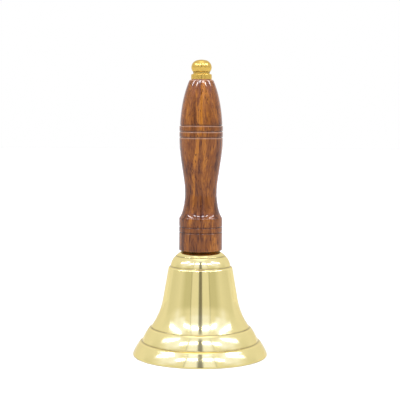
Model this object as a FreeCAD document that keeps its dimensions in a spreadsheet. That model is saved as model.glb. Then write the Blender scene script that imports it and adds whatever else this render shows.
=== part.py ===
"""Hand bell: a stepped cast bell on a turned wooden handle, with a ball finial
and a clapper that hangs from a link.

Millimetres. The origin is the centre of the mouth, on the plane of the rim.
+Z is the bell's axis and points from the mouth to the finial.

One long rod holds it together: the finial screws onto its upper end and the
staple nut onto its lower end, with the collar, the handle, the crown of the
bell and a washer clamped between them. The staple carries the link in its
ring, and the link carries the clapper.
"""
import FreeCAD, Part
import math
import os
import Sketcher

OUT = "parts"
X_AXIS = FreeCAD.Vector(1, 0, 0)
Z_AXIS = FreeCAD.Vector(0, 0, 1)
ON_EDGE = FreeCAD.Placement(FreeCAD.Vector(), FreeCAD.Rotation(X_AXIS, 90))
OUT_SWELL = 1
IN_HOLLOW = -1

# name: value. Radii are measured from the bell's axis, heights from the rim.
SIZES = {
    # bell, outside: four tiers, each standing proud of the one above it
    "rim_round": 0.7, "rim_radius": 45.0,
    "rim_bow_arc": 3.4, "rim_bow_radius": 44.72, "rim_bow_height": 1.65,
    "lip_bow_radius": 42.06, "lip_bow_height": 6.92, "lip_bow_arc": 26.3,
    "lip_cove_arc": 57.4, "lip_edge_radius": 40.66, "lip_edge_height": 9.11,
    "band_foot_radius": 38.95, "band_foot_height": 9.7, "band_bow_arc": 30.0,
    "band_edge_radius": 34.28, "band_edge_height": 18.38,
    "waist_foot_radius": 33.04, "waist_foot_height": 19.1, "waist_bend_radius": 25.19,
    "waist_bend_height": 37.67, "waist_flare_arc": 46.0,
    "shoulder_radius": 21.48, "shoulder_height": 59.04,
    "dome_foot_radius": 20.21, "dome_foot_height": 59.93, "dome_arc": 11.72,
    "dome_top_radius": 16.69, "dome_top_height": 66.69,
    "seam_radius": 16.39, "seam_height": 66.84,
    "cap_foot_radius": 16.45, "cap_foot_height": 67.01, "cap_arc": 20.0,
    "crown_radius": 13.0, "cap_top_height": 69.57, "seat_height": 70.5,
    # bell, inside
    "mouth_radius": 41.2, "bow_inner_radius": 38.2, "bow_inner_height": 5.05,
    "flare_inner_radius": 31.2, "flare_inner_height": 16.45, "flare_inner_arc": 44.0,
    "waist_inner_radius": 22.0, "waist_inner_height": 37.65,
    "vault_inner_radius": 17.9, "vault_inner_height": 58.45, "vault_arc": 11.5,
    "ceiling_radius": 9.5, "ceiling_height": 66.35, "crown_bore_radius": 3.2,
    # handle
    "handle_bore_radius": 3.3, "handle_edge": 0.5, "ferrule_radius": 14.5,
    "ferrule_height": 91.25, "shoulder_round_arc": 2.6,
    "shoulder_end_radius": 14.05, "shoulder_end_height": 92.65,
    "throat_arc": 14.7, "throat_radius": 12.35, "throat_height": 96.4,
    "neck_arc": 43.0, "neck_radius": 10.68, "neck_height": 108.25,
    "swell_foot_arc": 62.0, "swell_foot_radius": 11.38, "swell_foot_height": 117.55,
    "swell_bend_radius": 13.05, "swell_bend_height": 128.35, "swell_arc": 117.0,
    "swell_radius": 14.42, "swell_height": 145.85, "swell_step_height": 153.45,
    "taper_radius": 14.05, "taper_arc": 104.0,
    "taper_mid_radius": 12.12, "taper_mid_height": 169.95, "tip_arc": 66.5,
    "tip_radius": 8.06, "tip_height": 183.1, "handle_top_radius": 7.6,
    "handle_top_height": 183.55,
    # V grooves cut round the handle, by height
    "groove_half_width": 0.42, "groove_depth": 0.4,
    "groove_one": 82.65, "groove_two": 86.25, "groove_three": 145.65,
    "groove_four": 149.55, "groove_five": 153.55,
    # finial collar and ball
    "collar_radius": 6.85, "collar_bore_radius": 3.2, "collar_bevel": 0.4,
    "collar_top_height": 187.25, "finial_neck_radius": 5.5,
    "finial_neck_height": 188.55, "ball_foot_radius": 5.62, "ball_foot_height": 188.75,
    "ball_lower_arc": 4.3, "ball_radius": 6.74, "ball_height": 191.65,
    "ball_upper_arc": 4.9, "ball_cap_radius": 3.4, "ball_cap_height": 196.29,
    "ball_cap_arc": 10.8, "ball_flat_radius": 0.5, "ball_top_height": 196.8,
    "socket_height": 193.45,
    # rod, washer and staple nut
    "rod_radius": 3.0, "rod_foot_height": 60.95, "rod_bevel": 0.5,
    "rod_top_height": 193.05, "washer_radius": 8.0, "washer_thickness": 1.2,
    "nut_circle_radius": 6.4, "nut_foot_height": 60.05,
    "ring_radius": 4.2, "ring_wire": 1.5, "ring_height": 54.95,
    # link, an obround in the YZ plane
    "link_radius": 3.2, "link_wire": 1.1, "link_top_height": 50.45,
    "link_foot_height": 47.05,
    # clapper
    "eye_radius": 3.7, "eye_wire": 1.5, "eye_height": 43.05, "shank_radius": 1.5,
    "shank_top_height": 39.35, "shank_foot_height": 5.65, "bob_radius": 9.5,
    "bob_height": 15.45, "rivet_radius": 2.6, "rivet_height": 1.1,
}

doc = FreeCAD.newDocument("HandBell")
sheet = doc.addObject("Spreadsheet::Sheet", "Sizes")
for row, (alias, number) in enumerate(SIZES.items(), start=1):
    sheet.set("A%d" % row, alias)
    sheet.set("B%d" % row, str(number))
    sheet.setAlias("B%d" % row, alias)
doc.recompute()


def value(terms):
    """Work out cells written as 'one + two - three'."""
    total = 0.0
    sign = 1.0
    for word in terms.split():
        if word in ("+", "-"):
            sign = 1.0 if word == "+" else -1.0
        else:
            total += sign * SIZES[word]
    return total


def formula(terms):
    """The same words as an expression on the sheet."""
    return " ".join(word if word in ("+", "-") else "Sizes." + word for word in terms.split())


def bind(item, **expressions):
    """Bind properties to the sheet; two underscores in a name stand for a dot."""
    for name, terms in expressions.items():
        path = name.replace("__", ".")
        prefix = "." if path.startswith("Placement") else ""
        item.setExpression(prefix + path, formula(terms))


def origin_plane(body, role):
    return next(item for item in body.Origin.OriginFeatures if item.Role == role)


def arc_middle(start, end, radius, bulge):
    """The middle point of the shorter arc, which bulges to the right or the left."""
    chord = end - start
    half = chord.Length / 2
    rise = radius - math.sqrt(radius ** 2 - half ** 2)
    side = FreeCAD.Vector(chord.y, -chord.x, 0).normalize()
    return (start + end) / 2 + side * (rise * bulge)


def outline(body, name, corners):
    """A closed half section on the XZ plane.

    Each corner is (radius, height) or (radius, height, arc, bulge), where the
    arc leads to the next corner. A radius of None lies on the axis and a
    height of None on the rim plane. The corners run with the material on the
    left, so OUT_SWELL bulges to the right and IN_HOLLOW to the left. The sheet
    of a sketch holds every arc anticlockwise, so a hollow arc runs backwards.
    """
    sketch = body.newObject("Sketcher::SketchObject", name)
    sketch.AttachmentSupport = (origin_plane(body, "XZ_Plane"), [""])
    sketch.MapMode = "FlatFace"
    points = [FreeCAD.Vector(value(c[0]) if c[0] else 0, value(c[1]) if c[1] else 0, 0)
              for c in corners]
    ends = []
    for index, corner in enumerate(corners):
        start = points[index]
        end = points[(index + 1) % len(points)]
        if len(corner) == 4:
            middle = arc_middle(start, end, value(corner[2]), corner[3])
            forward = corner[3] == OUT_SWELL
            first, last = (start, end) if forward else (end, start)
            edge = sketch.addGeometry(Part.Arc(first, middle, last))
            sketch.addConstraint(Sketcher.Constraint("Radius", edge, value(corner[2])))
            sketch.setExpression("Constraints[%d]" % (sketch.ConstraintCount - 1), formula(corner[2]))
        else:
            edge = sketch.addGeometry(Part.LineSegment(start, end))
            forward = True
        ends.append((edge, 1 if forward else 2, 2 if forward else 1))
    for index, corner in enumerate(corners):
        edge, first, _ = ends[index]
        before, _, last = ends[index - 1]
        sketch.addConstraint(Sketcher.Constraint("Coincident", before, last, edge, first))
        for kind, terms, axis in (("DistanceX", corner[0], -2), ("DistanceY", corner[1], -1)):
            if terms:
                sketch.addConstraint(
                    Sketcher.Constraint(kind, -1, 1, edge, first, value(terms)))
                sketch.setExpression("Constraints[%d]" % (sketch.ConstraintCount - 1), formula(terms))
            else:
                sketch.addConstraint(Sketcher.Constraint("PointOnObject", edge, first, axis))
    return sketch


def turned(label, corners):
    """A body turned round the Z axis from one half section."""
    body = doc.addObject("PartDesign::Body", label)
    sketch = outline(body, label + "_section", corners)
    spin = body.newObject("PartDesign::Revolution", label + "_turned")
    spin.Profile = sketch
    spin.ReferenceAxis = (sketch, ["V_Axis"])
    spin.Angle = 360
    sketch.Visibility = False
    doc.recompute()
    return body


def cut_grooves(body, radii_and_heights):
    """V grooves round a turned body: triangles that reach just past its surface."""
    before = body.Shape.Volume
    for number, (radius, height) in enumerate(radii_and_heights, start=1):
        sketch = outline(body, "groove_%d_section" % number, (
            (radius + " - groove_depth", height),
            (radius + " + groove_half_width", height + " - groove_half_width - groove_half_width"),
            (radius + " + groove_half_width", height + " + groove_half_width + groove_half_width"),
        ))
        cut = body.newObject("PartDesign::Groove", "groove_%d" % number)
        cut.Profile = sketch
        cut.ReferenceAxis = (sketch, ["V_Axis"])
        cut.Angle = 360
        doc.recompute()
        after = body.Shape.Volume
        if not after < before:
            raise RuntimeError("groove %d cut nothing" % number)
        before = after


def primitive(kind, name, placement=FreeCAD.Placement(), **expressions):
    item = doc.addObject("Part::" + kind, name)
    item.Placement = placement
    bind(item, **expressions)
    return item


def joined(label, pieces):
    fuse = doc.addObject("Part::MultiFuse", label)
    fuse.Shapes = pieces
    fuse.Refine = True
    doc.recompute()
    return fuse


def bell_shell():
    """Cast bell: outside from the rim up to the handle's seat, then back down inside."""
    return turned("bell_shell", (
        ("mouth_radius", None),
        ("rim_radius - rim_round", None, "rim_round", OUT_SWELL),
        ("rim_radius", "rim_round", "rim_bow_arc", OUT_SWELL),
        ("rim_bow_radius", "rim_bow_height", "lip_bow_arc", OUT_SWELL),
        ("lip_bow_radius", "lip_bow_height", "lip_cove_arc", IN_HOLLOW),
        ("lip_edge_radius", "lip_edge_height"),
        ("band_foot_radius", "band_foot_height", "band_bow_arc", OUT_SWELL),
        ("band_edge_radius", "band_edge_height"),
        ("waist_foot_radius", "waist_foot_height", "waist_flare_arc", IN_HOLLOW),
        ("waist_bend_radius", "waist_bend_height"),
        ("shoulder_radius", "shoulder_height"),
        ("dome_foot_radius", "dome_foot_height", "dome_arc", OUT_SWELL),
        ("dome_top_radius", "dome_top_height"),
        ("seam_radius", "seam_height"),
        ("cap_foot_radius", "cap_foot_height", "cap_arc", OUT_SWELL),
        ("crown_radius", "cap_top_height"),
        ("crown_radius", "seat_height"),
        ("crown_bore_radius", "seat_height"),
        ("crown_bore_radius", "ceiling_height"),
        ("ceiling_radius", "ceiling_height", "vault_arc", IN_HOLLOW),
        ("vault_inner_radius", "vault_inner_height"),
        ("waist_inner_radius", "waist_inner_height", "flare_inner_arc", OUT_SWELL),
        ("flare_inner_radius", "flare_inner_height"),
        ("bow_inner_radius", "bow_inner_height"),
    ))


def handle_grip():
    """Turned wooden handle with a through bore for the rod."""
    body = turned("handle_grip", (
        ("handle_bore_radius", "seat_height"),
        ("ferrule_radius - handle_edge", "seat_height", "handle_edge", OUT_SWELL),
        ("ferrule_radius", "seat_height + handle_edge"),
        ("ferrule_radius", "ferrule_height", "shoulder_round_arc", OUT_SWELL),
        ("shoulder_end_radius", "shoulder_end_height", "throat_arc", IN_HOLLOW),
        ("throat_radius", "throat_height", "neck_arc", IN_HOLLOW),
        ("neck_radius", "neck_height", "swell_foot_arc", IN_HOLLOW),
        ("swell_foot_radius", "swell_foot_height"),
        ("swell_bend_radius", "swell_bend_height", "swell_arc", OUT_SWELL),
        ("swell_radius", "swell_height"),
        ("swell_radius", "swell_step_height"),
        ("taper_radius", "swell_step_height", "taper_arc", OUT_SWELL),
        ("taper_mid_radius", "taper_mid_height", "tip_arc", OUT_SWELL),
        ("tip_radius", "tip_height"),
        ("handle_top_radius", "handle_top_height"),
        ("handle_bore_radius", "handle_top_height"),
    ))
    cut_grooves(body, (
        ("ferrule_radius", "groove_one"),
        ("ferrule_radius", "groove_two"),
        ("swell_radius", "groove_three"),
        ("swell_radius", "groove_four"),
        ("taper_radius", "groove_five"),
    ))
    return body


def finial_collar():
    return turned("finial_collar", (
        ("collar_bore_radius", "handle_top_height"),
        ("collar_radius - collar_bevel", "handle_top_height"),
        ("collar_radius", "handle_top_height + collar_bevel"),
        ("collar_radius", "collar_top_height - collar_bevel"),
        ("collar_radius - collar_bevel", "collar_top_height"),
        ("collar_bore_radius", "collar_top_height"),
    ))


def finial_knob():
    """Ball nut: a short neck under a flattened ball, with a blind socket for the rod."""
    return turned("finial_knob", (
        ("rod_radius", "collar_top_height"),
        ("finial_neck_radius", "collar_top_height"),
        ("finial_neck_radius", "finial_neck_height"),
        ("ball_foot_radius", "ball_foot_height", "ball_lower_arc", OUT_SWELL),
        ("ball_radius", "ball_height", "ball_upper_arc", OUT_SWELL),
        ("ball_cap_radius", "ball_cap_height", "ball_cap_arc", OUT_SWELL),
        ("ball_flat_radius", "ball_top_height"),
        (None, "ball_top_height"),
        (None, "socket_height"),
        ("rod_radius", "socket_height"),
    ))


def tie_rod():
    return turned("tie_rod", (
        (None, "rod_foot_height"),
        ("rod_radius - rod_bevel", "rod_foot_height"),
        ("rod_radius", "rod_foot_height + rod_bevel"),
        ("rod_radius", "rod_top_height - rod_bevel"),
        ("rod_radius - rod_bevel", "rod_top_height"),
        (None, "rod_top_height"),
    ))


def crown_washer():
    return turned("crown_washer", (
        ("crown_bore_radius", "ceiling_height - washer_thickness"),
        ("washer_radius", "ceiling_height - washer_thickness"),
        ("washer_radius", "ceiling_height"),
        ("crown_bore_radius", "ceiling_height"),
    ))


def staple_nut():
    """Hexagon nut with a ring under it, screwed onto the rod inside the crown."""
    nut = primitive("Prism", "staple_hexagon", Circumradius="nut_circle_radius",
                    Height="ceiling_height - washer_thickness - nut_foot_height",
                    Placement__Base__z="nut_foot_height")
    nut.Polygon = 6
    ring = primitive("Torus", "staple_ring", ON_EDGE, Radius1="ring_radius",
                     Radius2="ring_wire", Placement__Base__z="ring_height")
    solid = joined("staple_blank", [nut, ring])
    bore = primitive("Cylinder", "staple_bore", Radius="rod_radius",
                     Height="ceiling_height - rod_foot_height",
                     Placement__Base__z="rod_foot_height")
    cut = doc.addObject("Part::Cut", "staple_nut")
    cut.Base = solid
    cut.Tool = bore
    doc.recompute()
    return cut


def hanging_link():
    """Obround link in the YZ plane: two half rings and two straight sides."""
    pieces = []
    for name, height, start in (("upper", "link_top_height", 0), ("lower", "link_foot_height", 180)):
        bend = primitive("Torus", "link_%s_bend" % name, Radius1="link_radius",
                         Radius2="link_wire", Placement__Base__z=height)
        bend.Angle3 = 180
        bend.Placement.Rotation = (FreeCAD.Rotation(X_AXIS, start)
                                   * FreeCAD.Rotation(Z_AXIS, 90)
                                   * FreeCAD.Rotation(X_AXIS, 90))
        pieces.append(bend)
    for name, sign in (("left", "- "), ("right", "")):
        side = primitive("Cylinder", "link_%s_side" % name, Radius="link_wire",
                         Height="link_top_height - link_foot_height",
                         Placement__Base__z="link_foot_height")
        side.setExpression(".Placement.Base.y", sign + "Sizes.link_radius")
        pieces.append(side)
    return joined("hanging_link", pieces)


def clapper_shank():
    """Wire bent into an eye at the top, with a rivet head under the bob."""
    eye = primitive("Torus", "clapper_eye", ON_EDGE, Radius1="eye_radius",
                    Radius2="eye_wire", Placement__Base__z="eye_height")
    wire = primitive("Cylinder", "clapper_wire", Radius="shank_radius",
                     Height="shank_top_height - shank_foot_height",
                     Placement__Base__z="shank_foot_height")
    head = primitive("Cone", "clapper_rivet", Radius1="shank_radius", Radius2="rivet_radius",
                     Height="rivet_height", Placement__Base__z="bob_height - bob_radius - rivet_height")
    return joined("clapper_shank", [eye, wire, head])


def clapper_bob():
    bob = primitive("Sphere", "bob_blank", Radius="bob_radius", Placement__Base__z="bob_height")
    bore = primitive("Cylinder", "bob_bore", Radius="shank_radius",
                     Height="bob_radius + bob_radius",
                     Placement__Base__z="bob_height - bob_radius")
    cut = doc.addObject("Part::Cut", "clapper_ball")
    cut.Base = bob
    cut.Tool = bore
    doc.recompute()
    return cut


def main():
    makers = (bell_shell, handle_grip, finial_collar, finial_knob, tie_rod, crown_washer,
              staple_nut, hanging_link, clapper_shank, clapper_bob)
    parts = [make() for make in makers]
    doc.recompute()
    for item in doc.Objects:
        if "Invalid" in item.State or "Error" in item.State:
            raise RuntimeError("%s did not build: %s" % (item.Label, item.State))
    for part in parts:
        if part.Shape.isNull() or not part.Shape.isValid():
            raise RuntimeError(part.Label + " has no valid shape")
    os.makedirs(OUT, exist_ok=True)
    for part in parts:
        part.Shape.exportStep(os.path.join(OUT, part.Label + ".step"))
        print("%-14s %9.1f mm3  solids %d" % (part.Label, part.Shape.Volume, len(part.Shape.Solids)))


main()
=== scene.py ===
"""Looks of the hand bell: polished cast brass, a lacquered turned handle, a ball
finial and the ring, link and clapper inside. Sizes in the tables are millimetres,
measured from the bell's axis and from the plane of its rim.
"""

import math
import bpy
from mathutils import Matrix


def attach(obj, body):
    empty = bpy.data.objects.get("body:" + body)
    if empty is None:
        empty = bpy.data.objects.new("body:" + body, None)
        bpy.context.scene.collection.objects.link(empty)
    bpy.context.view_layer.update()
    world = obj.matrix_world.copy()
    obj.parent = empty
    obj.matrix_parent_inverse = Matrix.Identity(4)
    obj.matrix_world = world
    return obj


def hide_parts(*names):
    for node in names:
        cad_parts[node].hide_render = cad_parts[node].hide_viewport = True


bl_info = {
    "name": "Hand bell",
    "version": (1, 0, 0),
    "blender": (4, 5, 0),
    "location": "View3D > Sidebar > Hand bell",
    "description": "Builds a polished brass hand bell with a lacquered turned handle",
    "category": "Add Mesh",
}

import bmesh
import bpy
import numpy as np

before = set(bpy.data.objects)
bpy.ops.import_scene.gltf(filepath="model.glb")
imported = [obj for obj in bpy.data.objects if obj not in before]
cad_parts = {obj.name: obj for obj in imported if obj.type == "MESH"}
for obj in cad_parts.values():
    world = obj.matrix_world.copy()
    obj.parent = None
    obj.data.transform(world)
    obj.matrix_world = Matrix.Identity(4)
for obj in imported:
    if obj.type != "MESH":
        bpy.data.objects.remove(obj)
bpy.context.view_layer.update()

MM = 0.001
TURN = 2 * math.pi

# Half length of the rubbed strip along an edge, or of the strip of grime and painted shade in a
# corner. A corner with an edge value of SOFT_BEND or more is a bend in a smooth outline and takes no
# strip.
FADE = 0.45 * MM
SOFT_BEND = 1.0

# Outlines are rows of radius, height, arc, edge. The outline runs with the
# material on its left. arc is the radius of the arc that leads to the next row:
# positive swells out of the material, negative hollows it, 0 is straight. edge is
# how far an outer corner is eased, or, if negative, an inner corner is filled.
# An eased corner takes a lighter strip, and a filled corner a darker strip of grime and painted shade.
BELL_OUTLINE = (
    (41.2, 0, 0, 0.5),
    (44.3, 0, 0.7, 0),
    (45, 0.7, 3.4, 0),
    (44.72, 1.65, 26.3, 0),
    (42.06, 6.92, -57.4, 0),
    (40.66, 9.11, 0, 0.55),
    (38.95, 9.7, 30, -0.15),
    (34.28, 18.38, 0, 0.55),
    (33.04, 19.1, -46, -0.15),
    (25.19, 37.67, 0, 0),
    (21.48, 59.04, 0, 0.45),
    (20.21, 59.93, 11.72, -0.15),
    (16.69, 66.69, 0, 0),
    (16.39, 66.84, 0, -0.08),
    (16.45, 67.01, 20, 0),
    # These two filled corners of the seat under the wood carry grime and painted shade: the dark line
    # beneath the handle.
    (13, 69.57, 0, -0.2),
    (12.2, 70.5, 0, -0.05),
    (3.2, 70.5, 0, 0),
    (3.2, 66.35, 0, 0),
    (9.5, 66.35, -11.5, 0),
    (17.9, 58.45, 0, 0),
    (22, 37.65, 44, 0),
    (31.2, 16.45, 0, 0),
    (38.2, 5.05, 0, 0.6),
)
HANDLE_OUTLINE = (
    (3.3, 70.5, 0, 0),
    (14, 70.5, 0.5, 0),
    (14.5, 71, 0, 0),
    (14.5, 82.2, 0, 0),
    (14.12, 82.65, 0, -0.1),
    (14.5, 83.1, 0, 0),
    (14.5, 85.8, 0, 0),
    (14.12, 86.25, 0, -0.1),
    (14.5, 86.7, 0, 0),
    (14.5, 91.25, 2.6, 0),
    (14.05, 92.65, -14.7, 0),
    (12.35, 96.4, -43, 0),
    (10.68, 108.25, -62, 0),
    (11.38, 117.55, 0, 3),
    (13.05, 128.35, 117, 3),
    (14.42, 145.2, 0, 0.16),
    (14.02, 145.65, 0, -0.1),
    (14.42, 146.1, 0, 0),
    (14.42, 149.1, 0, 0.16),
    (14.02, 149.55, 0, -0.1),
    (14.42, 150, 0, 0),
    (14.42, 153.05, 0, 0.2),
    (13.68, 153.55, 0, -0.1),
    (14.05, 154, 104, 0),
    (12.12, 169.95, 66.5, 0),
    (8.06, 183.1, 0, 0.3),
    (7.6, 183.55, 0, 0.2),
    (3.3, 183.55, 0, 0),
)
COLLAR_OUTLINE = (
    (3.2, 183.55, 0, 0),
    (6.5, 183.55, 0, 0.15),
    (6.85, 183.9, 0, 0.15),
    (6.85, 186.9, 0, 0.15),
    (6.5, 187.25, 0, 0.15),
    (3.2, 187.25, 0, 0),
)
FINIAL_OUTLINE = (
    (3, 187.25, 0, 0),
    (5.5, 187.25, 0, 0.1),
    (5.5, 188.55, 0, -0.1),
    (5.62, 188.75, 4.3, 0),
    (6.74, 191.65, 4.9, 0),
    (3.4, 196.29, 10.8, 0),
    (0.5, 196.8, 0, 0),
    (0, 196.8, 0, 0),
    (0, 193.45, 0, 0),
    (3, 193.45, 0, 0),
)
WASHER_OUTLINE = (
    (3.2, 65.15, 0, 0.15),
    (8, 65.15, 0, 0.25),
    (8, 66.35, 0, 0.15),
    (3.2, 66.35, 0, 0),
)
BOB_OUTLINE = (
    (1.5, 6.1, 9.5, 0.2),
    (9.5, 15.45, 9.5, 0),
    (1.5, 24.8, 0, 0.2),
)
RIVET_OUTLINE = (
    (0, 4.85, 4.2, 0),
    (2.6, 5.75, 0, 0.1),
    (2.4, 6, 0, 0),
    (0, 6.15, 0, 0),
)

# Nut of the staple: radii of its bore and of its flats, heights of its two faces.
NUT = {"bore": 3, "flat": 5.54, "low": 60.05, "high": 65.15}

# Round wires. radius is the wire's own; bend is the radius of its middle line round a
# centre at each height. The shank's wire stands from foot to top, then makes its eye
# over most of a turn.
RING = {"radius": 1.5, "bend": 4.2, "centre": 54.95}
LINK = {"radius": 1.1, "bend": 3.2, "upper": 50.45, "lower": 47.05}
SHANK = {"radius": 1.5, "foot": 5.45, "top": 39.25, "bend": 3.7, "centre": 43.05, "turn": 0.94}

# Figure of the wood: layers that run through it. Each row is the direction square to
# the layer, as its parts across (X) and along (Z) the handle, the layer's distance from
# the origin that way, half its width, and how much lighter or, if negative, darker the
# wood is there.
FIGURE = (
    (1.0, -0.1, -16.2, 0.8, 0.1),
    (1.0, -0.06, -14.6, 1.3, -0.05),
    (1.0, 0.02, 2.4, 0.7, -0.07),
    (1.0, -0.25, -14.5, 1.2, -0.06),
    (1.0, 0.12, 18.6, 1.0, 0.06),
    (0.0, 1.0, 173, 11, 0.035),
)

# Walls of the tent, from the floor up, the same on both sides of the middle. Each row
# is the two elevations between which it takes over from the row before it, then its
# light levels by azimuth. Angles are degrees, the azimuth counted from the front.
WALLS = (
    (None, ((0, 0.95), (26, 0.94), (31, 0.62), (50, 0.63), (60, 0.8), (68, 0.91), (90, 0.83),
            (106, 0.81), (116, 1.0), (180, 0.97))),
    ((10, 21), ((0, 1.2), (24, 1.2), (31, 0.95), (50, 0.85), (60, 1.1), (70, 1.45), (82, 1.1),
                (96, 0.9), (130, 1.0), (180, 0.95))),
    ((24, 30), ((0, 1.6), (21, 1.6), (29, 1.3), (33, 1.0), (42, 1.05), (48, 1.5), (55, 1.85),
                (63, 1.6), (74, 1.7), (86, 1.2), (98, 1.0), (180, 0.95))),
    ((48, 56), ((0, 1.5), (25, 1.5), (36, 1.2), (180, 1.1))),
)
ZENITH = ((68, 78), (2.0, 2.0, 2.1, 1))
# Share of the light left by the dark slit in front and by a seam on either side of it,
# and the elevations between which both end.
GAPS = ((52, 66), ((0, 0.25), (4.2, 0.29), (6.6, 1), (27.9, 1), (28.9, 0.6), (29.9, 0.6),
                   (30.9, 1), (180, 1)))
# Lamps on both sides of the middle: azimuth and half width, elevation, and rise of the
# elevation per degree outwards.
LAMPS = (
    (16.5, 8, 47, -0.1),
    (40.5, 6.5, 42, -0.35),
    (75.5, 13.5, 40.3, -0.6),
)
# Each lamp is a bright bar in a bluish glow: colour, half its height, its soft border
# up and down, its soft border sideways.
LAMP_LAYERS = (
    ((24, 24, 24, 1), 1.2, 1.4, 1.8),
    ((0.36, 0.5, 1.3, 1), 1.0, 8.0, 7.0),
)
TENT_TURN = math.radians(0.3)


class BellSettings(bpy.types.PropertyGroup):
    """Sizes and colours of the brass bell and its finial."""

    segments: bpy.props.IntProperty(
        name="Segments", description="Steps round the axis", default=256, min=48, max=320)
    step: bpy.props.FloatProperty(
        name="Step", description="Longest step along an outline", default=0.0005,
        min=0.0003, max=0.002, unit="LENGTH")
    brass: bpy.props.FloatVectorProperty(
        name="Bell brass", description="Reflected colour of the polished bell",
        default=(0.87, 0.745, 0.335), subtype="COLOR", size=3, min=0, max=1)
    # Colour of the inner corners: tarnish with painted shade.
    tarnish_and_shade: bpy.props.FloatVectorProperty(
        name="Tarnish and shade", description="Colour of the brass in its corners",
        default=(0.17, 0.11, 0.04), subtype="COLOR", size=3, min=0, max=1)
    gilt: bpy.props.FloatVectorProperty(
        name="Finial brass", description="Reflected colour of the collar and the ball",
        default=(0.72, 0.48, 0.115), subtype="COLOR", size=3, min=0, max=1)
    polish: bpy.props.FloatProperty(
        name="Polish", description="Roughness of the polished brass", default=0.07, min=0, max=1)


class HandleSettings(bpy.types.PropertyGroup):
    """Colours of the turned handle."""

    dark: bpy.props.FloatVectorProperty(
        name="Dark grain", description="Darkest streaks of the wood",
        default=(0.062, 0.015, 0.004), subtype="COLOR", size=3, min=0, max=1)
    middle: bpy.props.FloatVectorProperty(
        name="Stain", description="Main colour of the stained wood",
        default=(0.185, 0.055, 0.008), subtype="COLOR", size=3, min=0, max=1)
    light: bpy.props.FloatVectorProperty(
        name="Light grain", description="Golden streaks of the wood",
        default=(0.4, 0.143, 0.014), subtype="COLOR", size=3, min=0, max=1)
    gloss: bpy.props.FloatProperty(
        name="Lacquer roughness", description="Roughness of the clear lacquer",
        default=0.05, min=0, max=1)


class ClapperSettings(bpy.types.PropertyGroup):
    """Sizes and colours of the ring, the link and the clapper."""

    sides: bpy.props.IntProperty(
        name="Wire sides", description="Sides of the round wire", default=32, min=8, max=64)
    steel: bpy.props.FloatVectorProperty(
        name="Plated steel", description="Reflected colour of the plated wire and nut",
        default=(0.62, 0.61, 0.57), subtype="COLOR", size=3, min=0, max=1)
    bob: bpy.props.FloatVectorProperty(
        name="Bob brass", description="Reflected colour of the clapper's ball",
        default=(0.72, 0.55, 0.24), subtype="COLOR", size=3, min=0, max=1)


class StageSettings(bpy.types.PropertyGroup):
    """Floor and camera."""

    floor: bpy.props.FloatProperty(
        name="Floor", description="Length and width of the floor", default=12, unit="LENGTH")
    distance: bpy.props.FloatProperty(
        name="Distance", description="Camera's distance in front of the axis",
        default=0.7, unit="LENGTH")
    height: bpy.props.FloatProperty(
        name="Height", description="Camera's height over the rim plane",
        default=0.15311, unit="LENGTH")
    side: bpy.props.FloatProperty(
        name="Side", description="Camera's shift to the right of the axis",
        default=-0.0008, unit="LENGTH")
    dip: bpy.props.FloatProperty(
        name="Dip", description="How far the camera looks down",
        default=math.radians(4.018), subtype="ANGLE")
    roll: bpy.props.FloatProperty(
        name="Roll", description="Turn of the camera about its own line of sight",
        default=math.radians(0.3), subtype="ANGLE")
    lens: bpy.props.FloatProperty(
        name="Lens", description="Focal length in millimetres on a 36 mm sensor",
        default=94.81)


def bow(start, end, radius, step):
    """Points of an arc without its end: start turned about the centre, which lies off
    the chord's middle by sqrt(radius^2 - (chord / 2)^2), on the left if radius is positive."""
    chord = end - start
    half = np.hypot(*chord) / 2
    left = np.array((-chord[1], chord[0])) / (2 * half)
    centre = (start + end) / 2 + left * math.copysign(math.sqrt(radius ** 2 - half ** 2), radius)
    sweep = 2 * math.asin(half / abs(radius)) * math.copysign(1, radius)
    count = max(3, math.ceil(abs(sweep * radius) / step))
    turn = sweep * np.arange(count) / count
    arm = start - centre
    return centre + np.stack((arm[0] * np.cos(turn) - arm[1] * np.sin(turn),
                              arm[0] * np.sin(turn) + arm[1] * np.cos(turn)), axis=1)


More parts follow.
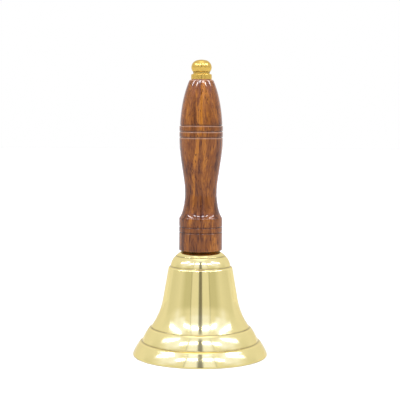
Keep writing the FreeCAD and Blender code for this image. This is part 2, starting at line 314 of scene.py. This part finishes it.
def outline(rows, step):
    """A closed half section in metres, with a mark of 1 at every eased edge and another
    at every filled corner, both falling off as exp(-(distance / FADE)^2).

    A corner with an edge value is replaced by the curve (1-t)^2 A + 2t(1-t) C + t^2 B,
    where C is the corner and A and B lie that far from it along the outline."""
    corners = np.array([row[:2] for row in rows], float) * MM
    stretches = []
    first_points = []
    for index, (_, _, radius, _) in enumerate(rows):
        start = corners[index]
        end = corners[(index + 1) % len(rows)]
        first_points.append(sum(len(stretch) for stretch in stretches))
        if radius:
            stretches.append(bow(start, end, radius * MM, step))
        else:
            count = max(2, math.ceil(np.hypot(*(end - start)) / step))
            share = np.arange(count)[:, None] / count
            stretches.append(start + (end - start) * share)
    line = np.concatenate(stretches)
    ring = np.concatenate((line, line[:1]))
    run = np.concatenate(([0], np.cumsum(np.hypot(*np.diff(ring, axis=0).T))))
    whole = run[-1]

    def at(distance):
        """The outline's points at these distances along it."""
        turned = np.mod(distance, whole)
        return np.stack((np.interp(turned, run, ring[:, 0]),
                         np.interp(turned, run, ring[:, 1])), axis=-1)

    keep = np.ones(len(line), bool)
    extra_run = []
    extra_points = []
    wear_at = []
    grime_and_shade_at = []
    share = np.linspace(0, 1, 6)
    for index, (_, _, _, edge) in enumerate(rows):
        if not edge:
            continue
        middle = run[first_points[index]]
        reach = abs(edge) * MM
        gap = np.abs(np.mod(run[:-1] - middle + whole / 2, whole) - whole / 2)
        keep &= gap > reach * 0.999
        first = at(middle - reach)
        last = at(middle + reach)
        turn = share[:, None]
        extra_points.append((1 - turn) ** 2 * first + 2 * turn * (1 - turn) * corners[index]
                            + turn ** 2 * last)
        extra_run.append(np.mod(middle - reach + 2 * reach * share, whole))
        if edge < SOFT_BEND:
            (wear_at if edge > 0 else grime_and_shade_at).append(middle)
    run_all = np.concatenate([run[:-1][keep], *extra_run])
    points = np.concatenate([line[keep], *extra_points])
    order = np.argsort(run_all, kind="stable")
    run_all = run_all[order]
    points = points[order]

    def marks(middles):
        """The largest mark that any of these corners leaves at each point."""
        found = np.zeros(len(points))
        for middle in middles:
            gap = np.abs(np.mod(run_all - middle + whole / 2, whole) - whole / 2)
            found = np.maximum(found, np.exp(-(gap / FADE) ** 2))
        return found

    # The second mark paints grime and shade into the filled corners.
    return points, {"wear": marks(wear_at), "grime_and_shade": marks(grime_and_shade_at)}


def surface(name, grid, wrap_rows, marks=None, crease=None):
    """A mesh on a grid of points with a row for each value of the first parameter. The
    columns always wrap; the rows wrap if the section is closed, and otherwise both ends
    are capped. Each cell is one quad. marks holds a value for each row."""
    rows, columns = grid.shape[:2]
    index = np.arange(rows * columns).reshape(rows, columns)
    upper = np.roll(index, -1, axis=0)
    if not wrap_rows:
        index = index[:-1]
        upper = upper[:-1]
    quads = np.stack((index, np.roll(index, -1, axis=1), np.roll(upper, -1, axis=1), upper), axis=-1)
    mesh = bpy.data.meshes.new(name)
    mesh.from_pydata(grid.reshape(-1, 3).tolist(), [], quads.reshape(-1, 4).tolist())
    for mark, values in (marks or {}).items():
        layer = mesh.attributes.new(mark, "FLOAT", "POINT")
        layer.data.foreach_set("value", np.repeat(values, columns).astype(np.float32))
    work = bmesh.new()
    work.from_mesh(mesh)
    bmesh.ops.remove_doubles(work, verts=work.verts, dist=1e-7)
    if not wrap_rows:
        bmesh.ops.holes_fill(work, edges=[edge for edge in work.edges if edge.is_boundary], sides=0)
    bmesh.ops.recalc_face_normals(work, faces=work.faces)
    work.to_mesh(mesh)
    work.free()
    mesh.shade_smooth()
    if crease is not None:
        mesh.set_sharp_from_angle(angle=crease)
    piece = bpy.data.objects.new(name, mesh)
    bpy.context.scene.collection.objects.link(piece)
    return piece


def lathe(name, rows, settings):
    """A surface of revolution: the section's point (r, z) goes to (r cos a, r sin a, z)
    for every angle a."""
    section, marks = outline(rows, settings.step)
    angle = TURN * np.arange(settings.segments) / settings.segments
    radius, height = section[:, :1], section[:, 1:]
    grid = np.stack((radius * np.cos(angle), radius * np.sin(angle),
                     height + 0 * angle), axis=-1)
    return surface(name, grid, True, marks)


def wire(name, path, radius, across, sides, closed):
    """A round wire along a flat path: centre + radius (cos b n + sin b m), where n is the
    unit vector across the path's plane and m is square to n and to the path."""
    ahead = np.roll(path, -1, axis=0) - np.roll(path, 1, axis=0)
    if not closed:
        ahead[0] = path[1] - path[0]
        ahead[-1] = path[-1] - path[-2]
    ahead /= np.linalg.norm(ahead, axis=1, keepdims=True)
    beside = np.cross(ahead, across)
    angle = TURN * np.arange(sides) / sides
    grid = (path[:, None] + radius * (np.cos(angle)[None, :, None] * np.array(across)
                                      + np.sin(angle)[None, :, None] * beside[:, None]))
    return surface(name, grid, closed)


def bend(radius, axis, centre, angle):
    """Points of an upright circle: radius cos a along X (axis 0) or Y (axis 1), and
    centre + radius sin a up Z."""
    points = np.zeros((len(angle), 3))
    points[:, axis] = radius * np.cos(angle)
    points[:, 2] = centre + radius * np.sin(angle)
    return points


def hexagon(name, bore, flat, low, high):
    """A hexagon nut: the radius at angle a is flat / cos(a folded into -30 to 30 degrees),
    but no more than each row's own limit, which turns down the corners."""
    steps = 96
    angle = TURN * np.arange(steps) / steps
    fold = np.mod(angle, math.pi / 3) - math.pi / 6
    side = flat / np.cos(fold)
    corner = flat / math.cos(math.pi / 6)
    bevel = corner - flat
    rows = ((bore, low), (0.93 * flat, low), (flat + 0.3 * bevel, low + 0.25 * MM),
            (corner, low + 0.7 * MM), (corner, high - 0.3 * MM), (flat + 0.7 * bevel, high),
            (bore, high))
    limit, height = np.array(rows).T
    radius = np.minimum(side, limit[:, None])
    grid = np.stack((radius * np.cos(angle), radius * np.sin(angle),
                     height[:, None] + 0 * angle), axis=-1)
    return surface(name, grid, True, crease=math.radians(25))


def add(tree, kind, inputs=None, **settings):
    """A node with its settings, and its inputs set to values or linked to sockets."""
    made = tree.nodes.new("ShaderNode" + kind)
    for name, setting in settings.items():
        setattr(made, name, setting)
    for name, value in (inputs or {}).items():
        if isinstance(value, bpy.types.NodeSocket):
            tree.links.new(value, made.inputs[name])
        else:
            made.inputs[name].default_value = value
    return made


def blended(tree, factor, first, second, mode="MIX"):
    """The colour output of a colour mix."""
    return add(tree, "Mix", {0: factor, 6: first, 7: second},
               data_type="RGBA", blend_type=mode).outputs[2]


def ramp(tree, factor, stops):
    """The colour output of a colour ramp with these stops: position, colour or grey level."""
    made = add(tree, "ValToRGB", {"Fac": factor})
    elements = made.color_ramp.elements
    while len(elements) < len(stops):
        elements.new(0.5)
    for element, (position, colour) in zip(elements, stops):
        element.position = position
        element.color = (*colour, 1) if isinstance(colour, (tuple, list)) else (colour,) * 3 + (1,)
    return made.outputs["Color"]


def window(tree, value, centre, half, soft):
    """1 within half of the centre, falling smoothly to 0 over the soft border."""
    away = add(tree, "Math", {0: value, 1: centre}, operation="SUBTRACT")
    away = add(tree, "Math", {0: away.outputs[0]}, operation="ABSOLUTE")
    return add(tree, "MapRange", {"Value": away.outputs[0], "From Min": half, "From Max": half + soft,
                                  "To Min": 1.0, "To Max": 0.0},
               interpolation_type="SMOOTHSTEP").outputs["Result"]


def new_group(name, inputs, outputs):
    """An empty node group with these sockets: (tree, input node, output node)."""
    tree = bpy.data.node_groups.new(name, "ShaderNodeTree")
    for direction, sockets in (("INPUT", inputs), ("OUTPUT", outputs)):
        for label, kind in sockets:
            tree.interface.new_socket(name=label, in_out=direction, socket_type="NodeSocket" + kind)
    return tree, tree.nodes.new("NodeGroupInput"), tree.nodes.new("NodeGroupOutput")


def turning_marks():
    """Height of the fine rings and hairlines that a tool and a buff leave on turned work."""
    tree, taken, given = new_group("Turning marks", (("Vector", "Vector"), ("Ring scale", "Float")),
                                   (("Height", "Float"),))
    squeezed = add(tree, "VectorMath", {0: taken.outputs["Vector"], 1: (0.02, 0.02, 1)},
                   operation="MULTIPLY")
    rings = add(tree, "TexNoise", {"Vector": squeezed.outputs[0],
                                   "Scale": taken.outputs["Ring scale"], "Detail": 3.0})
    hairs = add(tree, "TexNoise", {"Vector": taken.outputs["Vector"], "Scale": 900.0, "Detail": 4.0})
    both = add(tree, "Math", {0: hairs.outputs["Fac"], 1: 0.25, 2: rings.outputs["Fac"]},
               operation="MULTIPLY_ADD")
    tree.links.new(both.outputs[0], given.inputs["Height"])
    return tree


def edge_wear_and_corner_shade():
    """Colour after rubbing on the edges, and grime with painted shade in the corners."""
    tree, taken, given = new_group(
        "Edge wear and corner shade", (("Color", "Color"), ("Rubbed", "Color"), ("Grime and shade", "Color"),
                      ("Rub", "Float"), ("Settle and shade", "Float"), ("Vector", "Vector")),
        (("Color", "Color"), ("Mask", "Float")))
    wear = add(tree, "Attribute", attribute_name="wear")
    grime_and_shade = add(tree, "Attribute", attribute_name="grime_and_shade")
    patches = add(tree, "TexNoise", {"Vector": taken.outputs["Vector"], "Scale": 220.0, "Detail": 3.0})
    uneven = add(tree, "MapRange", {"Value": patches.outputs["Fac"], "From Min": 0.3, "From Max": 0.7,
                                    "To Min": 0.55, "To Max": 1.0})
    rub = add(tree, "Math", {0: wear.outputs["Fac"], 1: taken.outputs["Rub"]}, operation="MULTIPLY")
    rub = add(tree, "Math", {0: rub.outputs[0], 1: uneven.outputs[0]}, operation="MULTIPLY")
    # Grime and painted shade in the inner corners, uneven in patches.
    grime_shade = add(tree, "Math", {0: grime_and_shade.outputs["Fac"], 1: taken.outputs["Settle and shade"]},
              operation="MULTIPLY")
    grime_shade = add(tree, "Math", {0: grime_shade.outputs[0], 1: uneven.outputs[0]}, operation="MULTIPLY")
    rubbed = blended(tree, rub.outputs[0], taken.outputs["Color"], taken.outputs["Rubbed"])
    grimed_and_shaded = blended(tree, grime_shade.outputs[0], rubbed, taken.outputs["Grime and shade"])
    tree.links.new(grimed_and_shaded, given.inputs["Color"])
    tree.links.new(grime_shade.outputs[0], given.inputs["Mask"])
    return tree


def shared(name):
    """A shared node group, made the first time it is asked for."""
    makers = {"Turning marks": turning_marks, "Edge wear and corner shade": edge_wear_and_corner_shade}
    return bpy.data.node_groups.get(name) or makers[name]()


def blank(name):
    """An empty material with its shader: (material, tree, shader, Object coordinates)."""
    material = bpy.data.materials.new(name)
    material.use_nodes = True
    tree = material.node_tree
    shader = tree.nodes["Principled BSDF"]
    spot = add(tree, "TexCoord").outputs["Object"]
    return material, tree, shader, spot


def polished_metal(name, colour, dirt_and_shade, roughness, ring_depth, haze=0.05, ring_scale=2600.0):
    """Buffed metal: hazy patches, faint rings, bright edges, and grime with painted shade in the
    corners.
    """
    material, tree, shader, spot = blank(name)
    cloud = add(tree, "TexNoise", {"Vector": spot, "Scale": 38.0, "Detail": 5.0, "Roughness": 0.6})
    darker = tuple(0.93 * part for part in colour)
    clouded = blended(tree, cloud.outputs["Fac"], (*colour, 1), (*darker, 1))
    worn_and_shaded = add(tree, "Group", node_tree=shared("Edge wear and corner shade"))
    tree.links.new(clouded, worn_and_shaded.inputs["Color"])
    tree.links.new(spot, worn_and_shaded.inputs["Vector"])
    bright = tuple(min(1.0, part * 1.08 + 0.02) for part in colour)
    worn_and_shaded.inputs["Rubbed"].default_value = (*bright, 1)
    # The inner corners take this dark colour: grime and painted shade.
    worn_and_shaded.inputs["Grime and shade"].default_value = (*dirt_and_shade, 1)
    worn_and_shaded.inputs["Rub"].default_value = 0.6
    worn_and_shaded.inputs["Settle and shade"].default_value = 0.85
    tree.links.new(worn_and_shaded.outputs["Color"], shader.inputs["Base Color"])
    shader.inputs["Metallic"].default_value = 1.0
    shader.inputs["Specular Tint"].default_value = (0.92, 0.86, 0.7, 1)
    smear = add(tree, "MapRange", {"Value": cloud.outputs["Fac"], "From Min": 0.35, "From Max": 0.75,
                                   "To Min": roughness, "To Max": roughness + haze})
    rough = add(tree, "Math", {0: worn_and_shaded.outputs["Mask"], 1: 0.35, 2: smear.outputs[0]},
                operation="MULTIPLY_ADD")
    tree.links.new(rough.outputs[0], shader.inputs["Roughness"])
    marks = add(tree, "Group", {"Vector": spot, "Ring scale": ring_scale},
                node_tree=shared("Turning marks"))
    bump = add(tree, "Bump", {"Height": marks.outputs["Height"], "Strength": 1.0,
                              "Distance": ring_depth * MM})
    tree.links.new(bump.outputs["Normal"], shader.inputs["Normal"])
    return material


def lacquered_wood(name, settings):
    """Stained hardwood along Z under clear lacquer: broad bands, streaks, flecks and pores,
    all stretched along the grain and bent by its slow wander, and the layers of FIGURE."""
    material, tree, shader, spot = blank(name)
    wander = add(tree, "TexNoise", {"Vector": spot, "Scale": 28.0, "Detail": 2.0})
    sway = add(tree, "VectorMath", {0: wander.outputs["Color"], 1: (0.5, 0.5, 0.5)},
               operation="SUBTRACT")
    bent = add(tree, "VectorMath", {0: sway.outputs[0], 1: (0.006, 0.006, 0.02), 2: spot},
               operation="MULTIPLY_ADD").outputs[0]

    def grain(across, along, detail, shift):
        """Noise with this many waves per metre across and along the grain."""
        mapped = add(tree, "Mapping", {"Vector": bent, "Location": (shift, shift * 0.7, shift * 1.3),
                                       "Scale": (across, across, along)})
        return add(tree, "TexNoise", {"Vector": mapped.outputs[0], "Scale": 1.0, "Detail": detail,
                                      "Roughness": 0.6}).outputs["Fac"]

    bands = grain(95.0, 9.0, 2.0, 3.1)
    streaks = grain(420.0, 25.0, 4.0, 8.4)
    flecks = grain(1100.0, 130.0, 3.0, 1.7)
    pores = grain(1500.0, 210.0, 1.0, 5.2)
    mixed = add(tree, "Math", {0: bands, 1: 0.32}, operation="MULTIPLY").outputs[0]
    for noise, weight in ((streaks, 0.34), (flecks, 0.34)):
        mixed = add(tree, "Math", {0: noise, 1: weight, 2: mixed},
                    operation="MULTIPLY_ADD").outputs[0]
    for across, along, foot, half, strength in FIGURE:
        away = add(tree, "VectorMath", {0: bent, 1: (across, 0.0, along)}, operation="DOT_PRODUCT")
        inside = window(tree, away.outputs["Value"], foot * MM, half * MM, half * MM)
        mixed = add(tree, "Math", {0: inside, 1: strength, 2: mixed},
                    operation="MULTIPLY_ADD").outputs[0]
    dark, middle, light = (tuple(colour) for colour in
                           (settings.dark, settings.middle, settings.light))
    deep = tuple((a + 2 * b) / 3 for a, b in zip(dark, middle))
    honey = tuple((a + b) / 2 for a, b in zip(middle, light))
    colour = ramp(tree, mixed, ((0.4, dark), (0.46, deep), (0.52, middle), (0.6, honey),
                                (0.69, light)))
    pore_mask = ramp(tree, pores, ((0.3, 1.0), (0.4, 0.0)))
    colour = blended(tree, pore_mask, colour, (*dark, 1))
    worn_and_shaded = add(tree, "Group", {"Color": colour, "Vector": spot}, node_tree=shared("Edge wear and corner shade"))
    # The eased lower lips of the grooves take this lighter colour.
    worn_and_shaded.inputs["Rubbed"].default_value = (0.55, 0.33, 0.21, 1)
    # Groove bottoms and inner corners of the wood are painted darker: grime and painted shade.
    worn_and_shaded.inputs["Grime and shade"].default_value = (*(0.5 * part for part in dark), 1)
    worn_and_shaded.inputs["Rub"].default_value = 0.6
    worn_and_shaded.inputs["Settle and shade"].default_value = 0.95
    tree.links.new(worn_and_shaded.outputs["Color"], shader.inputs["Base Color"])
    shader.inputs["Roughness"].default_value = 0.6
    shader.inputs["Specular IOR Level"].default_value = 0.0
    shader.inputs["Coat Weight"].default_value = 1.0
    shader.inputs["Coat IOR"].default_value = 1.42
    shader.inputs["Coat Roughness"].default_value = settings.gloss
    height = add(tree, "Math", {0: flecks, 1: pore_mask}, operation="SUBTRACT")
    bump = add(tree, "Bump", {"Height": height.outputs[0], "Strength": 0.5, "Distance": 0.03 * MM})
    tree.links.new(bump.outputs["Normal"], shader.inputs["Normal"])
    return material


def place(piece, material, body, slot, *nodes):
    """Gives a piece its material and its body, and hides the nodes that it stands for. slot is not
    used.
    """
    piece.data.materials.append(material)
    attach(piece, body)
    if nodes:
        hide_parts(*nodes)


class HANDBELL_OT_bell(bpy.types.Operator):
    """Cast brass bell in four tiers"""

    bl_idname = "handbell.bell"
    bl_label = "Bell"

    def execute(self, context):
        settings = context.scene.handbell
        # The third colour paints tarnish and shade into the inner corners.
        material = polished_metal("polished_bell_brass", settings.brass, settings.tarnish_and_shade,
                                  settings.polish, 0.006)
        place(lathe("cast_bell", BELL_OUTLINE, settings), material, "bell", "bell_brass",
              "bell_shell")
        return {"FINISHED"}


class HANDBELL_OT_handle(bpy.types.Operator):
    """Turned handle with five grooves"""

    bl_idname = "handbell.handle"
    bl_label = "Handle"

    def execute(self, context):
        material = lacquered_wood("lacquered_handle_wood", context.scene.handbell_handle)
        place(lathe("turned_handle", HANDLE_OUTLINE, context.scene.handbell), material, "bell",
              "handle_wood", "handle_grip")
        return {"FINISHED"}


class HANDBELL_OT_finial(bpy.types.Operator):
    """Collar and ball on top of the handle"""

    bl_idname = "handbell.finial"
    bl_label = "Finial"

    def execute(self, context):
        settings = context.scene.handbell
        # The third colour paints tarnish and shade into the inner corners.
        material = polished_metal("polished_finial_brass", settings.gilt, settings.tarnish_and_shade,
                                  0.2, 0.0012)
        place(lathe("collar_ring", COLLAR_OUTLINE, settings), material, "bell", "finial_brass",
              "finial_collar")
        place(lathe("ball_finial", FINIAL_OUTLINE, settings), material, "bell", "finial_brass",
              "finial_knob")
        return {"FINISHED"}


class HANDBELL_OT_staple(bpy.types.Operator):
    """Rod, washer and nut with its ring, inside the crown"""

    bl_idname = "handbell.staple"
    bl_label = "Staple"

    def execute(self, context):
        settings = context.scene.handbell_clapper
        # The dark colour paints grime and shade into the inner corners.
        material = polished_metal("plated_steel", settings.steel, (0.12, 0.09, 0.06), 0.24, 0.015,
                                  haze=0.2, ring_scale=1500.0)
        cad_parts["tie_rod"].data.materials.clear()
        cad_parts["tie_rod"].data.materials.append(material)
        place(lathe("washer_ring", WASHER_OUTLINE, context.scene.handbell), material, "bell",
              "plated_steel", "crown_washer")
        nut = {name: size * MM for name, size in NUT.items()}
        place(hexagon("staple_hexagon", **nut), material, "bell", "plated_steel", "staple_nut")
        steps = 96
        path = bend(RING["bend"], 0, RING["centre"], TURN * np.arange(steps) / steps)
        place(wire("staple_ring", path * MM, RING["radius"] * MM, (0, 1, 0), settings.sides, True),
              material, "bell", "plated_steel")
        return {"FINISHED"}


class HANDBELL_OT_clapper(bpy.types.Operator):
    """Link, shank, ball and rivet of the clapper"""

    bl_idname = "handbell.clapper"
    bl_label = "Clapper"

    def execute(self, context):
        settings = context.scene.handbell_clapper
        steel = bpy.data.materials["plated_steel"]
        half = math.pi * np.arange(49) / 48
        path = np.concatenate((bend(LINK["bend"], 1, LINK["upper"], half),
                               bend(LINK["bend"], 1, LINK["lower"], half + math.pi))) * MM
        place(wire("wire_link", path, LINK["radius"] * MM, (1, 0, 0), settings.sides, True),
              steel, "link", "plated_steel", "hanging_link")
        rise = np.linspace((0, 0, SHANK["foot"]), (0, 0, SHANK["top"]), 40)
        eye_steps = 90
        around = TURN * SHANK["turn"] * np.arange(1, eye_steps + 1) / eye_steps - math.pi / 2
        path = np.concatenate((rise, bend(SHANK["bend"], 0, SHANK["centre"], around))) * MM
        place(wire("wire_shank", path, SHANK["radius"] * MM, (0, 1, 0), settings.sides, False),
              steel, "clapper", "plated_steel", "clapper_shank")
        # The dark colour paints grime and shade into the inner corners.
        brass = polished_metal("turned_bob_brass", settings.bob, (0.2, 0.13, 0.05), 0.2, 0.03,
                               haze=0.15, ring_scale=1400.0)
        place(lathe("clapper_bob", BOB_OUTLINE, context.scene.handbell), brass, "clapper",
              "clapper_brass", "clapper_ball")
        place(lathe("rivet_head", RIVET_OUTLINE, context.scene.handbell), steel, "clapper",
              "plated_steel")
        return {"FINISHED"}


def tone(level):
    """A light level as a colour: warm in the shade and cool where it is bright."""
    if level < 1:
        return (0.97 - 0.73 * (1 - level),) * 2 + (level,)
    return (0.97 + 0.25 * (level - 1), 0.97 + 0.36 * (level - 1), level)


def studio_world():
    """Soft white light from all round, by the direction's azimuth away from the front
    and its elevation: pale walls with a dark slit in front and a seam on either side,
    six lamps above them and a plain ceiling. The camera itself sees plain white."""
    world = bpy.data.worlds.new("white_tent")
    bpy.context.scene.world = world
    world.use_nodes = True
    tree = world.node_tree
    tree.nodes.clear()
    direction = add(tree, "TexCoord").outputs["Generated"]
    parts = add(tree, "SeparateXYZ", {0: direction})
    front = add(tree, "Math", {0: parts.outputs["Y"], 1: -1.0}, operation="MULTIPLY")
    azimuth = add(tree, "Math", {0: parts.outputs["X"], 1: front.outputs[0]}, operation="ARCTAN2")
    turned = add(tree, "Math", {0: azimuth.outputs[0], 1: TENT_TURN}, operation="SUBTRACT")
    away = add(tree, "Math", {0: turned.outputs[0]}, operation="ABSOLUTE")
    degrees = add(tree, "Math", {0: away.outputs[0]}, operation="DEGREES").outputs[0]
    height = add(tree, "Math", {0: parts.outputs["Z"]}, operation="ARCSINE")
    rise = add(tree, "Math", {0: height.outputs[0]}, operation="DEGREES").outputs[0]
    share = add(tree, "Math", {0: degrees, 1: 180.0}, operation="DIVIDE").outputs[0]

    def around(levels, colour):
        """The levels by azimuth, each turned into a colour."""
        return ramp(tree, share, tuple((angle / 180, colour(level)) for angle, level in levels))

    def climb(low, high):
        """0 below the first elevation and 1 above the second."""
        return add(tree, "MapRange", {"Value": rise, "From Min": float(low), "From Max": float(high)},
                   interpolation_type="SMOOTHSTEP").outputs["Result"]

    light = None
    for climbs, levels in WALLS:
        wall = around(levels, tone)
        light = blended(tree, climb(*climbs), light, wall) if climbs else wall
    light = blended(tree, climb(*ZENITH[0]), light, ZENITH[1])
    for centre, half, lift, slope in LAMPS:
        tilt = add(tree, "Math", {0: degrees, 1: -slope, 2: rise}, operation="MULTIPLY_ADD")
        for colour, tall, soft, border in LAMP_LAYERS:
            sideways = window(tree, degrees, float(centre), float(half), border)
            upright = window(tree, tilt.outputs[0], lift - slope * centre, tall, soft)
            shape = add(tree, "Math", {0: sideways, 1: upright}, operation="MULTIPLY")
            light = blended(tree, shape.outputs[0], light, colour, "ADD")
    gaps = blended(tree, climb(*GAPS[0]), around(GAPS[1], float), (1, 1, 1, 1))
    light = blended(tree, 1.0, light, gaps, "MULTIPLY")
    seen = add(tree, "LightPath").outputs["Is Camera Ray"]
    tent = add(tree, "Background", {"Color": light, "Strength": 1.0})
    plain = add(tree, "Background", {"Color": (1, 1, 1, 1), "Strength": 1.0})
    mixed = add(tree, "MixShader", {0: seen, 1: tent.outputs[0], 2: plain.outputs[0]})
    add(tree, "OutputWorld", {"Surface": mixed.outputs[0]})


def floor_paint():
    """Matt pale paint, with painted shade where the brass mirrors it: glossy rays see it darker. It is
    clear from below and under the flat rim and the mouth, so that light reaches the clapper."""
    material, tree, shader, spot = blank("pale_floor")
    mirrored = add(tree, "LightPath").outputs["Is Glossy Ray"]
    # Glossy rays see a darker copy of the paint: painted shade in reflections of the floor.
    paint = blended(tree, mirrored, (0.93, 0.93, 0.93, 1), (0.66, 0.65, 0.59, 1))
    tree.links.new(paint, shader.inputs["Base Color"])
    shader.inputs["Roughness"].default_value = 0.9
    rim = BELL_OUTLINE[1][0] * MM
    below = add(tree, "NewGeometry").outputs["Backfacing"]
    away = add(tree, "VectorMath", {0: spot}, operation="LENGTH").outputs["Value"]
    under = add(tree, "Math", {0: away, 1: rim}, operation="LESS_THAN").outputs[0]
    opened = add(tree, "Math", {0: below, 1: under}, operation="MAXIMUM").outputs[0]
    clear = add(tree, "BsdfTransparent")
    mixed = add(tree, "MixShader", {0: opened, 1: shader.outputs[0], 2: clear.outputs[0]})
    tree.links.new(mixed.outputs[0], tree.nodes["Material Output"].inputs["Surface"])
    return material


class HANDBELL_OT_stage(bpy.types.Operator):
    """Pale floor, soft white light and the camera"""

    bl_idname = "handbell.stage"
    bl_label = "Stage"

    def execute(self, context):
        settings = context.scene.handbell_stage
        bpy.ops.mesh.primitive_plane_add(size=settings.floor)
        floor = context.active_object
        floor.name = "pale_floor"
        floor.data.materials.append(floor_paint())
        studio_world()
        lens = bpy.data.cameras.new("camera")
        camera = bpy.data.objects.new("camera", lens)
        context.scene.collection.objects.link(camera)
        camera.location = (settings.side, -settings.distance, settings.height)
        camera.rotation_euler = (math.pi / 2 - settings.dip, -settings.roll, 0)
        lens.sensor_width = 36
        lens.lens = settings.lens
        lens.clip_start = 0.01
        context.scene.camera = camera
        context.scene.view_settings.view_transform = "Standard"
        return {"FINISHED"}


class HANDBELL_PT_panel(bpy.types.Panel):
    """Buttons and settings of the hand bell"""

    bl_idname = "HANDBELL_PT_panel"
    bl_label = "Hand bell"
    bl_space_type = "VIEW_3D"
    bl_region_type = "UI"
    bl_category = "Hand bell"

    def draw(self, context):
        scene = context.scene
        for settings in (scene.handbell, scene.handbell_handle, scene.handbell_clapper,
                         scene.handbell_stage):
            column = self.layout.column()
            for name in settings.__annotations__:
                column.prop(settings, name)
        for operator in OPERATORS:
            self.layout.operator(operator.bl_idname)


GROUPS = {"handbell": BellSettings, "handbell_handle": HandleSettings,
          "handbell_clapper": ClapperSettings, "handbell_stage": StageSettings}
OPERATORS = (HANDBELL_OT_bell, HANDBELL_OT_handle, HANDBELL_OT_finial, HANDBELL_OT_staple,
             HANDBELL_OT_clapper, HANDBELL_OT_stage)
CLASSES = (*GROUPS.values(), *OPERATORS, HANDBELL_PT_panel)


def register():
    for item in CLASSES:
        bpy.utils.register_class(item)
    for name, group in GROUPS.items():
        setattr(bpy.types.Scene, name, bpy.props.PointerProperty(type=group))


def unregister():
    for name in GROUPS:
        delattr(bpy.types.Scene, name)
    for item in reversed(CLASSES):
        bpy.utils.unregister_class(item)


def main():
    register()
    bpy.ops.handbell.bell()
    bpy.ops.handbell.handle()
    bpy.ops.handbell.finial()
    bpy.ops.handbell.staple()
    bpy.ops.handbell.clapper()
    bpy.ops.handbell.stage()


if __name__ == "__main__":
    main()
